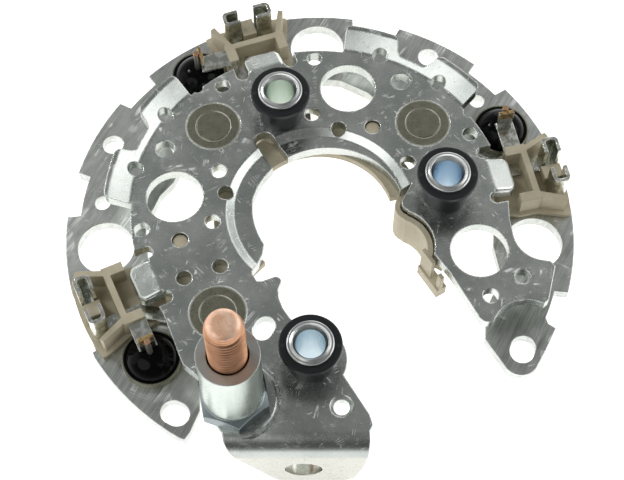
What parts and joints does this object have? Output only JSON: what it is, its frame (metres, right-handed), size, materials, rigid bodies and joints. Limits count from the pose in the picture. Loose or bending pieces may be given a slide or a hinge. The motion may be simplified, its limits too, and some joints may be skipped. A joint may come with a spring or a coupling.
{
  "type": "alternator rectifier",
  "caption": "Horseshoe diode rectifier with stacked aluminium heat sinks, press-fit diodes, moulded terminal carrier, insulated bushes and a threaded output stud.",
  "frame": {"origin": "on the rotor axis, in the underside of the negative plate that seats on the housing", "axes": "+Z along the rotor axis towards the output stud, -Y towards the stud's tab, +X to the right ear"},
  "size_m": [0.118, 0.1166, 0.0607],
  "materials": {
    "positive_aluminium": "satin, stamped, lightly scratched",
    "negative_aluminium": "brushed",
    "beige_moulding": "matt moulded",
    "coppered_stud": "satin copper flash",
    "zinc_plate": "bright zinc",
    "tinned_terminal": "tinned",
    "black_bush": "satin moulded",
    "eyelet_steel": "bright plated",
    "diode_cup": "satin nickel",
    "silicon_die": "polished",
    "diode_lead": "bare copper",
    "black_potting": "cast gloss"
  },
  "bodies": {
    "root": {"positive_plate": "positive_aluminium", "negative_plate": "negative_aluminium", "terminal_moulding": "beige_moulding", "output_stud": "coppered_stud", "stud_sleeve_nut": "zinc_plate", "phase_terminal_1": "tinned_terminal", "insulating_bush_1": "black_bush", "eyelet_1": "eyelet_steel", "positive_diode_1_cup": "diode_cup", "positive_diode_1_die": "silicon_die", "positive_diode_1_lead": "diode_lead", "positive_diode_1_potting": "black_potting", "negative_diode_1_cup": "diode_cup", "negative_diode_1_die": "silicon_die", "negative_diode_1_lead": "diode_lead", "negative_diode_1_potting": "black_potting", "phase_terminal_2": "tinned_terminal", "insulating_bush_2": "black_bush", "eyelet_2": "eyelet_steel", "positive_diode_2_cup": "diode_cup", "positive_diode_2_die": "silicon_die", "positive_diode_2_lead": "diode_lead", "positive_diode_2_potting": "black_potting", "negative_diode_2_cup": "diode_cup", "negative_diode_2_die": "silicon_die", "negative_diode_2_lead": "diode_lead", "negative_diode_2_potting": "black_potting", "phase_terminal_3": "tinned_terminal", "insulating_bush_3": "black_bush", "eyelet_3": "eyelet_steel", "positive_diode_3_cup": "diode_cup", "positive_diode_3_die": "silicon_die", "positive_diode_3_lead": "diode_lead", "positive_diode_3_potting": "black_potting", "negative_diode_3_cup": "diode_cup", "negative_diode_3_die": "silicon_die", "negative_diode_3_lead": "diode_lead", "negative_diode_3_potting": "black_potting"}
  },
  "joints": []
}
